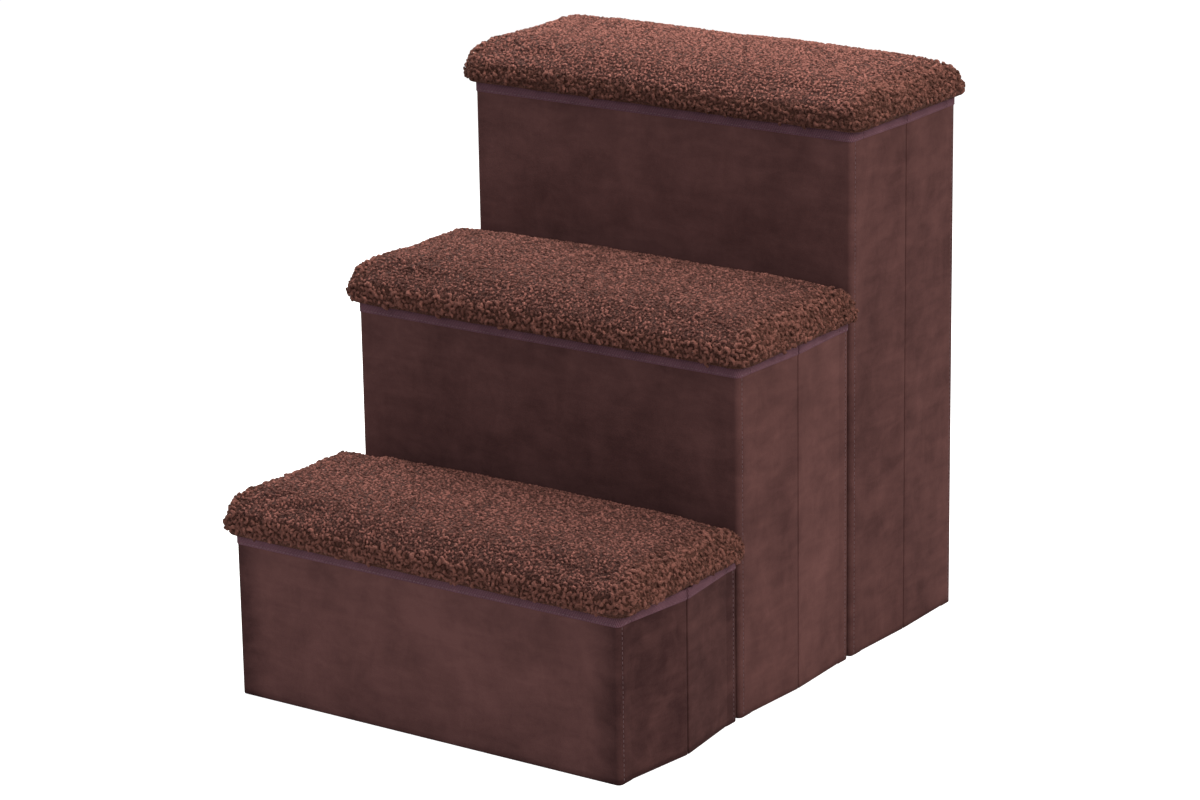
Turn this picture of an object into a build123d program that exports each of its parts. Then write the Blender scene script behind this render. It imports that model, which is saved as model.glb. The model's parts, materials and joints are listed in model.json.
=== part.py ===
"""Folding pet stairs: three cloth-covered boxes, one behind the other, each with a lift-off plush lid.

Frame: +X to the right of someone facing the stairs, +Y up the flight, +Z up, in millimetres.
The origin is on the floor, under the middle of the whole flight.

Each box folds flat. Its two side panels are creased down the middle and fold inward between the
front and back walls, and its floor is a pair of mitred boards that hinge up against those walls.
"""

from build123d import *
import math
import os

# The flight
box_width = 400
step_depth = 180
step_rise = 165
first_rim_height = 147
box_gap = 4
step_names = ("lower", "middle", "upper")

# How far the creased middle of each box's sides stands out
lower_fold_bulge = 8.5
middle_fold_bulge = 3.5
upper_fold_bulge = 2.0
fold_bulges = (lower_fold_bulge, middle_fold_bulge, upper_fold_bulge)

# Walls and side panels: stiff boards in cloth sleeves, with a woven tape bound over the rim
wall_thickness = 8
wall_corner_radius = 4.5
side_thickness = 5
cloth_thickness = 1.0
tape_thickness = 0.8
tape_height = 14
side_lift = 0.5

# Floor of each box: two stiff boards over a base cloth
floor_board_thickness = 4
base_cloth_lift = 0.3
mitre_margin = 1.5

# Clearances
slip_fit = 0.1
seat_gap = 0.3
fold_gap = 0.2

# Lids: a board, a foam pad and a plush cover that is turned under and closed by a lining
lid_side_overhang = 12
lid_front_overhang = 10
lid_edge_height = 24
lid_depth_crown = 8
lid_width_crown = 3
lid_corner_radius = 16
lid_top_radius = 9
lid_foot_radius = 4
plush_thickness = 4
plush_turn_width = 24
plush_turn_thickness = 1.2
lid_board_thickness = 5
lining_thickness = 0.8
lining_inset = 9

# Hook-and-loop strips that hold one box to the next
strip_width = 40
strip_height = 80
strip_floor_height = 25
strip_spacing = 240

# Derived places, with the middle of one box as their zero
box_depth = step_depth - box_gap
half_width = box_width / 2
half_depth = box_depth / 2
web_reach = side_thickness - cloth_thickness + floor_board_thickness + 2 * seat_gap
corner_axis_x = half_width - cloth_thickness
corner_axis_y = half_depth - wall_thickness - web_reach
fold_axis_offset = cloth_thickness + tape_thickness + fold_gap
floor_axis_y = half_depth - wall_thickness - seat_gap
floor_board_height = base_cloth_lift + cloth_thickness + fold_gap
floor_axis_z = floor_board_height + floor_board_thickness

# Derived places along the whole flight
lid_width = box_width + 2 * lid_side_overhang
lid_depth = lid_front_overhang + step_depth - seat_gap
flight_depth = lid_depth + (len(step_names) - 1) * step_depth
flight_front = lid_front_overhang - flight_depth / 2


def box_middle(step):
    """Place along Y of the middle of a step's box, counted from the bottom step."""
    return flight_front + half_depth + step * step_depth


def rim_height(step):
    """Height of a step's rim above the floor."""
    return first_rim_height + step * step_rise


def fold_lean(bulge):
    """Angle in degrees by which a side half leans out, when its fold stands out by bulge."""
    return math.degrees(math.atan2(bulge, corner_axis_y))


def fold_reach(bulge):
    """Distance along a side half from its corner hinge to the middle fold."""
    lean = math.radians(fold_lean(bulge))
    return (corner_axis_y + fold_axis_offset * math.sin(lean)) / math.cos(lean)


def fold_axis_x(bulge):
    """Distance of the middle fold's hinge line from the middle of the box."""
    lean = math.radians(fold_lean(bulge))
    return corner_axis_x + fold_axis_offset * math.cos(lean) + fold_reach(bulge) * math.sin(lean)


def block(low, high):
    """A plain block between two opposite corners."""
    sides = [end - start for start, end in zip(low, high)]
    return Pos(*low) * Box(*sides, align=(Align.MIN, Align.MIN, Align.MIN))


def grown(corner, amount):
    """A corner moved by amount along every axis."""
    return [value + amount for value in corner]


def wall_rectangle(outset):
    """Plan of a back wall grown by outset, with its two outer corners rounded.

    The wall's outer face is on y = 0 and the inside of the box is on the -Y side.
    """
    plan = Rectangle(box_width + 2 * outset, wall_thickness + 2 * outset)
    outer_corners = plan.vertices().sort_by(Axis.Y)[-2:]
    return Pos(0, -wall_thickness / 2) * fillet(outer_corners, wall_corner_radius + outset)


def wall_cloth_plan(outset):
    """Plan of a back wall's cloth grown by outset: the sleeve, and a web at each end.

    Each web lies in line with the box's side and reaches forward to the corner hinge.
    """
    plan = wall_rectangle(outset)
    web = Rectangle(cloth_thickness + 2 * outset, web_reach, align=(Align.CENTER, Align.MAX))
    for side in (1, -1):
        plan += Pos(side * (half_width - cloth_thickness / 2), -wall_thickness) * web
    return plan


def wall(rim):
    """A back wall up to its rim: the board, and the sleeve with the tape bound over its top."""
    sleeve_top = rim - tape_thickness
    sleeve = extrude(wall_cloth_plan(0), sleeve_top)
    sleeve -= Pos(0, 0, cloth_thickness) * extrude(wall_rectangle(-cloth_thickness), sleeve_top)
    board_floor = cloth_thickness + slip_fit
    board_height = sleeve_top - slip_fit - board_floor
    board = Pos(0, 0, board_floor) * extrude(wall_rectangle(-board_floor), board_height)
    tape_floor = rim - tape_height
    tape = Pos(0, 0, tape_floor) * extrude(wall_cloth_plan(tape_thickness), tape_height)
    tape -= Pos(0, 0, tape_floor) * extrude(wall_cloth_plan(0), tape_height - tape_thickness)
    return {"board": [board], "cover": [sleeve, tape]}


def side_half(rim, bulge):
    """The back half of the right side panel, with its corner hinge at the origin.

    It reaches along -Y to the middle fold. The end at the fold is set back far enough for the
    two halves to lean out without touching.
    """
    lean = math.radians(fold_lean(bulge))
    inner_face = cloth_thickness - side_thickness
    fold_setback = (fold_axis_offset + tape_thickness - inner_face) * math.tan(lean) + fold_gap
    near_end = -(tape_thickness + seat_gap)
    far_end = fold_setback - fold_reach(bulge)
    sleeve_top = rim - tape_thickness
    low = (inner_face, far_end, side_lift)
    high = (cloth_thickness, near_end, sleeve_top)
    pocket_low = grown(low, cloth_thickness)
    pocket_high = (0, near_end - cloth_thickness, rim)
    sleeve = block(low, high) - block(pocket_low, pocket_high)
    board_high = (-slip_fit, near_end - cloth_thickness - slip_fit, sleeve_top - slip_fit)
    board = block(grown(pocket_low, slip_fit), board_high)
    tape_low = (inner_face - tape_thickness, far_end, rim - tape_height)
    tape_high = (cloth_thickness + tape_thickness, near_end, rim)
    tape = block(tape_low, tape_high) - block(low, high)
    return {"board": [board], "cover": [sleeve, tape]}


def floor_board():
    """The back half of a box's floor, mitred at 45 degrees so that the side panels fold over it."""
    back = floor_axis_y - seat_gap
    front = fold_gap / 2
    widest = corner_axis_x - side_thickness + cloth_thickness - 2 * seat_gap
    shoulder = floor_axis_y - (corner_axis_x - widest) + mitre_margin
    narrowest = corner_axis_x - (floor_axis_y - front) - mitre_margin
    right_edge = [(widest, back), (widest, shoulder), (narrowest, front)]
    left_edge = [(-x, y) for x, y in reversed(right_edge)]
    outline = Polyline(*right_edge, *left_edge, close=True)
    return Pos(0, 0, floor_board_height) * extrude(make_face(outline), floor_board_thickness)


def base_cloth(bulge):
    """The cloth under the floor boards, cut to the outline inside the walls and creased sides."""
    edge = corner_axis_x - side_thickness + cloth_thickness - seat_gap
    back = floor_axis_y
    right_edge = [(edge, -back), (edge, -corner_axis_y), (edge + bulge, 0)]
    right_edge += [(edge, corner_axis_y), (edge, back)]
    left_edge = [(-x, y) for x, y in reversed(right_edge)]
    outline = Polyline(*right_edge, *left_edge, close=True)
    return Pos(0, 0, base_cloth_lift) * extrude(make_face(outline), cloth_thickness)


def lid_prism(inset, floor, height):
    """An upright block of the lid's outline, drawn in by inset."""
    width = lid_width - 2 * inset
    outline = RectangleRounded(width, lid_depth - 2 * inset, lid_corner_radius - inset)
    return Pos(0, 0, floor) * extrude(outline, height)


def lid_dome():
    """A slab with the lid's crowned top: an arc across the depth, swung gently across the width."""
    edge_top = lid_edge_height + lid_width_crown
    crown_top = edge_top + lid_depth_crown
    reach = lid_depth / 2
    rim_line = Polyline((reach, edge_top), (reach, -lid_edge_height), (-reach, -lid_edge_height), (-reach, edge_top))
    crown_line = ThreePointArc((-reach, edge_top), (0, crown_top), (reach, edge_top))
    section = Plane.YZ * make_face([rim_line, crown_line])
    swing_radius = (lid_width_crown**2 + (lid_width / 2) ** 2) / (2 * lid_width_crown)
    swing_axis = Axis((0, 0, crown_top - swing_radius), (0, 1, 0))
    half_swing = math.degrees(math.asin(lid_width / swing_radius))
    return revolve(section, swing_axis, 2 * half_swing).rotate(swing_axis, -half_swing)


def crowned_pad(inset, floor):
    """A crowned pad of the lid's outline with rounded edges, its sides and top drawn in by inset."""
    dome = Pos(0, 0, -inset) * lid_dome()
    pad = dome & lid_prism(inset, floor, lid_edge_height + lid_depth_crown + lid_width_crown)
    top_edges = pad.faces().sort_by(Axis.Z)[-1].edges()
    pad = fillet(top_edges, lid_top_radius - inset)
    if lid_foot_radius > inset:
        pad = fillet(pad.faces().sort_by(Axis.Z)[0].edges(), lid_foot_radius - inset)
    return pad


def lid():
    """A lid's pieces, with the underside of its lining on z = 0."""
    plush_floor = lining_thickness
    board_floor = plush_floor + plush_turn_thickness
    foam_floor = board_floor + lid_board_thickness
    inside = plush_thickness + slip_fit
    window_low = (plush_turn_width - lid_width / 2, plush_turn_width - lid_depth / 2, 0)
    window_high = (lid_width / 2 - plush_turn_width, lid_depth / 2 - plush_turn_width, foam_floor)
    plush = crowned_pad(0, plush_floor) - crowned_pad(plush_thickness, board_floor)
    plush -= block(window_low, window_high)
    return {
        "plush_cover": plush,
        "foam_pad": crowned_pad(inside, foam_floor),
        "stiff_board": lid_prism(inside, board_floor, lid_board_thickness),
        "lining": lid_prism(lining_inset, 0, lining_thickness),
    }


def joining_strips():
    """Two hook-and-loop strips in the gap between two boxes, from y = 0 to the gap's far side."""
    strip = Box(strip_width, box_gap, strip_height, align=(Align.CENTER, Align.MIN, Align.MIN))
    return [Pos(side * strip_spacing / 2, 0, strip_floor_height) * strip for side in (1, -1)]


def write_node(name, solids):
    """Writes one node, of one solid or of several, to its own file."""
    shape = solids[0] if len(solids) == 1 else Compound(children=solids)
    export_step(shape, f"parts/{name}.step")


def mirrored(shape, to_front, to_left):
    """A shape made for the back right of a box, turned over to the front or the left."""
    if to_front:
        shape = mirror(shape, Plane.XZ)
    if to_left:
        shape = mirror(shape, Plane.YZ)
    return shape


def write_pieces(prefix, pieces, middle, to_front, to_left):
    """Writes each group of solids as a node, turned over where asked and set in its box."""
    for piece, solids in pieces.items():
        write_node(f"{prefix}_{piece}", [middle * mirrored(solid, to_front, to_left) for solid in solids])


os.makedirs("parts", exist_ok=True)

for step, step_name in enumerate(step_names):
    rim = rim_height(step)
    bulge = fold_bulges[step]
    middle = Pos(0, box_middle(step), 0)
    back_place = Pos(0, half_depth, 0)
    corner = Pos(corner_axis_x, corner_axis_y) * Rot(0, 0, fold_lean(bulge))

    back_wall = {}
    for piece, solids in wall(rim).items():
        back_wall[piece] = [back_place * solid for solid in solids]
    write_pieces(f"{step_name}_back_wall", back_wall, middle, False, False)
    write_pieces(f"{step_name}_front_wall", back_wall, middle, True, False)

    half = {}
    for piece, solids in side_half(rim, bulge).items():
        half[piece] = [corner * solid for solid in solids]
    for side_name, is_left in (("right", False), ("left", True)):
        for end_name, is_front in (("back", False), ("front", True)):
            write_pieces(f"{step_name}_{side_name}_{end_name}_side", half, middle, is_front, is_left)

    board = floor_board()
    write_node(f"{step_name}_back_floor_board", [middle * board])
    write_node(f"{step_name}_front_floor_board", [middle * mirror(board, Plane.XZ)])
    write_node(f"{step_name}_base_cloth", [middle * base_cloth(bulge)])

    lid_middle = box_middle(step) - half_depth - lid_front_overhang + lid_depth / 2
    lid_place = Pos(0, lid_middle, rim + seat_gap)
    for piece, solid in lid().items():
        write_node(f"{step_name}_lid_{piece}", [lid_place * solid])

    if step + 1 < len(step_names):
        strips = [middle * Pos(0, half_depth, 0) * strip for strip in joining_strips()]
        write_node(f"{step_name}_to_{step_names[step + 1]}_joining_strips", strips)
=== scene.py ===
"""Dresses the folding pet stairs: cloth sleeves, rim tape, stitching, padded plush lids and linings."""

import json
import math
from functools import partial

import bmesh
import bpy
from bpy.props import FloatProperty, FloatVectorProperty, IntProperty, PointerProperty
from mathutils import Matrix, Vector, noise

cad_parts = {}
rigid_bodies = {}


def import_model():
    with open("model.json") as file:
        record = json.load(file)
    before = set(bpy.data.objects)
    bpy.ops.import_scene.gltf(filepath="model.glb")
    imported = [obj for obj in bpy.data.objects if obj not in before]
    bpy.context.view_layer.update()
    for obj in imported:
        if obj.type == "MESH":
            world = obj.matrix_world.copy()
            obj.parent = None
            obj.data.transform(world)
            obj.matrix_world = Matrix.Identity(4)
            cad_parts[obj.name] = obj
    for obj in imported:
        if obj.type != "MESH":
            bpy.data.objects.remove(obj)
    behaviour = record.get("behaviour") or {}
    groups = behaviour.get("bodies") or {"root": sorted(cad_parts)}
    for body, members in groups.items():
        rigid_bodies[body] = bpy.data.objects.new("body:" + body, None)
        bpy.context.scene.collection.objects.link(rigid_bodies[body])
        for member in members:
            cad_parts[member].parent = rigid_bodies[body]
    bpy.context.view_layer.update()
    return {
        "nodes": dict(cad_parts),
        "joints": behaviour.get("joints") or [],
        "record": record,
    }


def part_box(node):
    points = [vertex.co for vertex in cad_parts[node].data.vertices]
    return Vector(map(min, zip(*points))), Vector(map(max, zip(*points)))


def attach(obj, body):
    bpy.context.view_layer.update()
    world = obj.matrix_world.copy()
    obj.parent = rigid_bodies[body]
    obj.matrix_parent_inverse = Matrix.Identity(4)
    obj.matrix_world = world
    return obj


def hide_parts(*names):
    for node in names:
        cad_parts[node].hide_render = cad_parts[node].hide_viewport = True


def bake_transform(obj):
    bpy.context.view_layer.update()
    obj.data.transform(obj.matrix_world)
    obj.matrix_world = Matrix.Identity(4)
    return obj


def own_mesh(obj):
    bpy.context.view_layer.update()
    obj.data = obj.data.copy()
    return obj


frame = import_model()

bl_info = {
    "name": "Folding Pet Stairs",
    "version": (1, 0, 0),
    "blender": (4, 5, 0),
    "location": "3D View > Sidebar > Pet Stairs",
    "description": "Cloth-covered folding boxes of rising height with plush lids",
    "category": "Object",
}

# The boxes, in metres, as the CAD model has them. A box's middle is the zero of its own plan.
STEPS = ("lower", "middle", "upper")
WAY_OF_END = {"front": -1, "back": 1}
WAY_OF_SIDE = {"right": 1, "left": -1}
FOLD_BULGES = {"lower": 0.0085, "middle": 0.0035, "upper": 0.002}
HALF_WIDTH = 0.2
HALF_DEPTH = 0.088
WALL = 0.008
WALL_CORNER = 0.0045
SIDE = 0.005
CLOTH = 0.001
TAPE = 0.0008
SIDE_LIFT = 0.0005
SEAT_GAP = 0.0003
FOLD_GAP = 0.0002
WEB_END = 0.0714
CORNER_AXIS = HALF_WIDTH - CLOTH
FOLD_AXIS_OFFSET = CLOTH + TAPE + FOLD_GAP
FLOOR_HALF_DEPTH = 0.0794
LID_HALF_WIDTH = 0.212
LID_FRONT = -0.098
LID_BACK = 0.0917
LINING = 0.0008
LINING_INSET = 0.009

WALL_BOXES = {step: [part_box(f"{step}_{end}_wall_cover") for end in WAY_OF_END] for step in STEPS}
MIDDLES = {step: (front[0].y + back[1].y) / 2 for step, (front, back) in WALL_BOXES.items()}
RIMS = {step: back[1].z for step, (_, back) in WALL_BOXES.items()}

# Sewing: the rim tape, lower than in the CAD model, as the photo has it, its line of stitches above its lower edge,
# and the place of a wall's corner seam from the middle of its box
TAPE_HEIGHT = 0.0095
STITCH_LINE = 0.0018
STITCH_END = 0.003
SEAM = HALF_DEPTH - WALL_CORNER - 0.0012
SEAM_HALF_WIDTH = 0.0006

# A sleeve's rows of points above its foot, and the rounding of a side half's end at the fold
FIRST_ROW = 0.003
ROW_STEP = 0.008
FOLD_ROUNDING = 0.0013

# The strips of cloth at the corners and creases, and how far from the hinge their bend reaches
STRIP = 0.0009
STRIP_GAP = 0.00002
CREASE_LIP = 0.0009
CREASE_BOTTOM = 0.0017

# The cloth's ripple: scale and seed of its coarse and its fine waves, and the lengths over which it fades out
# above the floor, below the tape and towards the ends of a panel
WALL_WAVES = ((9, 1.7), (24, 5.1))
SIDE_WAVES = ((16, 3.3), (40, 8.8))
FLOOR_FADE = 0.02
TAPE_FADE = 0.015
WALL_END_FADE = 0.02
SIDE_END_FADE = 0.012

# Heights and outsets of a sleeve's lowest rows, which round its edge
WALL_FOOT = ((0.0, -0.00045), (0.00045, -0.0001), (0.0011, 0.0))
SIDE_FOOT = ((SIDE_LIFT, -0.0005), (SIDE_LIFT + 0.0005, 0.0))

# Painted light and shade: how much lighter (above 0) or darker (below 0) each panel's suede is painted, for how
# the light falls on it
WALL_PAINTED_LIGHT = {"lower": 0.24, "middle": -0.02, "upper": 0.12}
SIDE_PAINTED_LIGHT = {("lower", "front"): -0.42, ("lower", "back"): -0.36, ("middle", "front"): 0.0,
            ("middle", "back"): 0.1, ("upper", "front"): -0.08, ("upper", "back"): -0.12}

# The pad: its underside, the inset (beyond the pile) and height of each row, and how much of the last outline each
# ring of its crown keeps. Its top arches from front to back, its ends bulge, and its corners drop by a length that
# grows with a power of how far out they are across the width and the depth.
PAD_FLOOR = SEAT_GAP + LINING + 0.0004
PAD_ROWS = ((0.001, PAD_FLOOR), (-0.002, PAD_FLOOR + 0.001), (-0.002, 0.009), (0.0, 0.0185), (0.0004, 0.0218),
            (0.0022, 0.024), (0.0055, 0.0246))
PAD_CROWN = (0.94, 0.85, 0.74, 0.6, 0.45, 0.3, 0.12)
PAD_ARCH = 0.0145
PAD_BULGE = 0.0035
BACK_CORNER_DROP = (0.0065, 5, 3)
FRONT_CORNER_DROP = (0.0075, 6, 4)

# The pad's simulation: its grid, the height of what the board holds, its frames and how far its points may move
PAD_VOXEL = 0.004
HELD_HEIGHT = 0.004
SWELL_FRAMES = 20
TOP_SWELL = 0.0025
SIDE_SWELL = 0.0008

# The plush's waves: scale and height of those on top, and of the one that moves the faces in and out. They start a
# little above the rim.
PLUSH_WAVES = ((13, 0.0011), (38, 0.0005))
FACE_WAVE = (26, 0.0008)
WAVE_START = 0.006
WAVE_FADE = 0.012

# The hem: how far outside the box it hangs at the ends and in front, its middle above the rim, its section, the
# bend at the front corners and how far it stays clear of the lid's back
HEM_OUT_END = 0.0056
HEM_OUT_FRONT = 0.0044
HEM_RISE = 0.0044
HEM_HALF_THICKNESS = 0.0032
HEM_HALF_HEIGHT = 0.0046
HEM_WAVE = 0.0006
HEM_SIDES = 10
HEM_BEND = 0.011
HEM_BACK = LID_BACK - 0.006

# The fine tufts stand on top of a lid, where the attribute "edge" is low, and the large ones round its edge
CURLS = {
    "fine": {"Tuft Thickness": 0.00115, "Sweep": math.radians(190), "Tilt": math.radians(24), "Size Variation": 0.3,
             "Edge From": -1.0, "Edge To": 0.5, "Lowest": 0.2, "Front Gain": 0.0, "Crest Gain": 0.3,
             "Top Gain": 0.0, "Segments": 4},
    "large": {"Tuft Thickness": 0.0017, "Sweep": math.radians(215), "Tilt": math.radians(38),
              "Size Variation": 0.32, "Edge From": 0.5, "Edge To": 2.0, "Lowest": -0.55, "Crest Gain": 0.3,
              "Segments": 5},
}
# The darkest and lightest tone of each kind, and each lid's painted light: how light its tufts are painted on top
# and at the edge
TONES = {"fine": (0.3, 1.24), "large": (0.36, 1.18)}
LID_PAINTED_LIGHT = {"lower": (1.1, 1.35), "middle": (0.92, 1.2), "upper": (1.55, 0.95)}
# Painted light: how much lighter the large tufts are painted where they face forward or up
FRONT_PAINTED_LIGHT = {"lower": 0.62, "middle": 0.45, "upper": -0.06}
TOP_PAINTED_LIGHT = {"lower": 0.0, "middle": 0.0, "upper": 0.45}

# Each lamp's name, angle round the stairs, height angle, distance, width, power and colour
LAMPS = (
    ("key", 84, 36, 3.2, 1.3, 72, (1.0, 0.985, 0.96)),
    ("back top", 150, 74, 1.35, 0.6, 17, (1.0, 0.99, 0.97)),
    ("left back", 248, 36, 1.7, 0.5, 30, (1.0, 0.99, 0.97)),
    ("front fill", -14, 30, 3.6, 2.0, 33, (0.87, 0.93, 1.05)),
)
LOOK_AT = Vector((0, 0, 0.25))
FLOOR_GREY = (0.62, 0.62, 0.62, 1)
FLOOR_GLOW = 0.8
WORLD_LIGHT = 0.24

# The camera's angle round the stairs, pitch and roll, and its place and lens
CAMERA_ANGLES = (35.068, 16.739, -0.9155)
CAMERA_PLACE = (1.975, -2.8138, 1.2645)
CAMERA_LENS = 122.52


def clamped(value):
    """A value kept between 0 and 1."""
    return min(1.0, max(0.0, value))


def body_of(node):
    """Name of the body that carries a CAD node."""
    for body, nodes in frame["record"]["behaviour"]["bodies"].items():
        if node in nodes:
            return body
    raise RuntimeError(f"no body carries {node}")


# ---------------------------------------------------------------- node helpers


def feed(tree, socket, value):
    """Gives an input a value, or the output that it is linked to."""
    if isinstance(value, bpy.types.NodeSocket):
        tree.links.new(value, socket)
    else:
        socket.default_value = value


def add(tree, kind, sockets=None, **settings):
    """A node with its settings, and its inputs by name or number: a value, or an output to link."""
    node = tree.nodes.new(kind)
    for name, value in settings.items():
        setattr(node, name, value)
    for key, value in (sockets or {}).items():
        feed(tree, node.inputs[key], value)
    return node


def maths(tree, operation, first, second=0.0):
    """Output of a Math node."""
    return add(tree, "ShaderNodeMath", {0: first, 1: second}, operation=operation).outputs[0]


def scaled(tree, value, factor, plus=0.0):
    """A value times a factor, plus another value."""
    return add(tree, "ShaderNodeMath", {0: value, 1: factor, 2: plus}, operation="MULTIPLY_ADD").outputs[0]


def parts_of(tree, vector):
    """The three parts of a vector."""
    return add(tree, "ShaderNodeSeparateXYZ", {0: vector}).outputs


def spots(tree, where, scale, detail=2.0, roughness=0.5, distortion=0.0):
    """Strength of a noise pattern."""
    values = {"Vector": where, "Scale": scale, "Detail": detail, "Roughness": roughness, "Distortion": distortion}
    return add(tree, "ShaderNodeTexNoise", values).outputs[0]


def cells(tree, where, scale, randomness=1.0):
    """Distance from the middle of a pattern's nearest cell."""
    values = {"Vector": where, "Scale": scale, "Randomness": randomness}
    return add(tree, "ShaderNodeTexVoronoi", values).outputs[0]


def ramp(tree, value, low, high):
    """Value stretched so that low becomes 0 and high becomes 1."""
    values = {"Value": value, "From Min": low, "From Max": high}
    return add(tree, "ShaderNodeMapRange", values, clamp=True).outputs[0]


def turned(tree, where, **settings):
    """Coordinates with a rotation or a scale."""
    return add(tree, "ShaderNodeMapping", {"Vector": where, **settings}).outputs[0]


def bumped(tree, height, distance, strength, under=None):
    """Normal that follows a height, over another bump where one is given."""
    values = {"Height": height, "Distance": distance, "Strength": strength}
    if under is not None:
        values["Normal"] = under
    return add(tree, "ShaderNodeBump", values).outputs[0]


def stored(tree, name):
    """A number that the mesh carries at each point."""
    return add(tree, "ShaderNodeAttribute", attribute_name=name).outputs["Fac"]


def place_on_piece(tree):
    """Object coordinates, which every pattern that isn't on a UV map reads."""
    return add(tree, "ShaderNodeTexCoord").outputs["Object"]


def blended(tree, share, first, second):
    """A mix of two colours."""
    first, second = (each if isinstance(each, bpy.types.NodeSocket) else (*each[:3], 1) for each in (first, second))
    return add(tree, "ShaderNodeMix", {0: share, 6: first, 7: second}, data_type="RGBA").outputs[2]


def new_finish(name, **sockets):
    """A new material and its tree, with the shader's own sockets set."""
    material = bpy.data.materials.new(name)
    material.use_nodes = True
    tree = material.node_tree
    for key, value in sockets.items():
        tree.nodes["Principled BSDF"].inputs[key.replace("_", " ")].default_value = value
    return material, tree


def painted(material, share, first, second, normal):
    """Gives a material a mix of two colours and its bump."""
    tree = material.node_tree
    shader = tree.nodes["Principled BSDF"]
    tree.links.new(blended(tree, share, first, second), shader.inputs["Base Color"])
    tree.links.new(normal, shader.inputs["Normal"])
    return material


def times(colour, factor):
    """A colour made darker or lighter."""
    return [part * factor for part in colour]


# ---------------------------------------------------------------- finishes


def suede(colours):
    """Short pile, brushed into lighter and darker patches, with each panel's painted light and shade,
    and darker just above the floor as a painted contact shadow.
    """
    material, tree = new_finish("brown suede", Roughness=0.9, Specular_IOR_Level=0.05, Sheen_Weight=0.05,
                                Sheen_Roughness=0.4, Sheen_Tint=(0.6, 0.33, 0.28, 1))
    where = place_on_piece(tree)
    brushed = turned(tree, where, Scale=(1.0, 1.0, 0.7))
    patches = spots(tree, brushed, 11, 4, 0.6, 0.8)
    smudges = spots(tree, brushed, 46, 4, 0.62, 0.5)
    streaks = turned(tree, where, Rotation=(0.3, 0.5, 0.4), Scale=(1.0, 1.0, 3.2))
    strokes = spots(tree, streaks, 26, 3, 0.6, 0.4)
    nap_and_painted_light = spots(tree, where, 900, 2, 0.7)
    tone = scaled(tree, ramp(tree, patches, 0.3, 0.7), 0.34, 0.06)
    tone = scaled(tree, ramp(tree, smudges, 0.3, 0.7), 0.22, tone)
    tone = scaled(tree, ramp(tree, strokes, 0.35, 0.7), 0.2, tone)
    # Adds each panel's painted light and shade, which its mesh carries
    tone = maths(tree, "ADD", scaled(tree, nap_and_painted_light, 0.24, tone), stored(tree, "nap_and_painted_light"))
    # Painted contact shadow: the suede is painted darker over the lowest few millimetres above the floor
    above_painted_floor_shade = ramp(tree, parts_of(tree, where)[2], 0.001, 0.006)
    tone = scaled(tree, above_painted_floor_shade, 0.35, maths(tree, "SUBTRACT", tone, 0.35))
    normal = bumped(tree, smudges, 0.0012, 0.35, bumped(tree, nap_and_painted_light, 0.0003, 0.5))
    return painted(material, tone, colours.suede_dark, colours.suede_light, normal)


def woven_tape(colours):
    """Ribbed tape: ribs across its length and a dotted weave between them, on the strip's own UV map."""
    material, tree = new_finish("woven tape", Roughness=0.85, Specular_IOR_Level=0.06)
    where = add(tree, "ShaderNodeUVMap", uv_map="strip").outputs[0]
    slanted = turned(tree, where, Rotation=(0, 0, math.radians(24)))
    rib_values = {"Vector": slanted, "Scale": 190.0, "Distortion": 0.6, "Detail": 1.0, "Detail Scale": 2.0}
    ribs = add(tree, "ShaderNodeTexWave", rib_values, bands_direction="X").outputs[1]
    row_values = {"Vector": where, "Scale": 230.0, "Distortion": 0.3}
    rows = add(tree, "ShaderNodeTexWave", row_values, bands_direction="Y").outputs[1]
    weave = maths(tree, "MULTIPLY", ribs, scaled(tree, rows, 0.5, 0.5))
    tone = scaled(tree, spots(tree, where, 60, 3), 0.5, maths(tree, "MULTIPLY", weave, 0.6))
    return painted(material, tone, colours.tape_dark, colours.tape_light, bumped(tree, weave, 0.0004, 0.8))


def thread(colours):
    """Twisted sewing thread."""
    material, tree = new_finish("sewing thread", Roughness=0.6)
    fibre = spots(tree, place_on_piece(tree), 700, 2)
    return painted(material, fibre, times(colours.thread, 0.6), colours.thread, bumped(tree, fibre, 0.0002, 0.6))


def plush(colours):
    """Curly pile. Each curl carries its own tone with painted light, and a painted highlight on its crest; the pile
    between the curls is painted darker as painted shade, and matted into soft patches.
    """
    material, tree = new_finish("curly plush", Roughness=0.95, Specular_IOR_Level=0.08, Sheen_Weight=0.08,
                                Sheen_Roughness=0.5, Sheen_Tint=(0.8, 0.45, 0.35, 1))
    where = place_on_piece(tree)
    matted = spots(tree, where, 34, 3, 0.6, 0.6)
    fuzz = spots(tree, where, 1100, 3, 0.7)
    # Painted highlight on each curl's crest, and painted shade towards its ends where they dip into the pile
    shade = scaled(tree, stored(tree, "crest"), 0.68, 0.16)
    shade = scaled(tree, ramp(tree, matted, 0.3, 0.7), 0.16, shade)
    shade = scaled(tree, fuzz, 0.24, shade)
    knots = ramp(tree, spots(tree, where, 400, 2, 0.5, 1.3), 0.42, 0.6)
    # Painted shade: the pile between the curls is painted darker, broken up by knots
    least = maths(tree, "MULTIPLY", knots, scaled(tree, matted, 0.3, 0.22))
    tone = maths(tree, "MAXIMUM", maths(tree, "MULTIPLY", stored(tree, "curl_tone"), shade), least)
    body = blended(tree, tone, colours.plush_dark, colours.plush_light)
    at_edge = maths(tree, "MULTIPLY", stored(tree, "edge"), 0.35)
    normal = bumped(tree, fuzz, 0.0005, 0.7, bumped(tree, knots, 0.0015, 0.9))
    return painted(material, at_edge, body, colours.plush_edge, normal)


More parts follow.
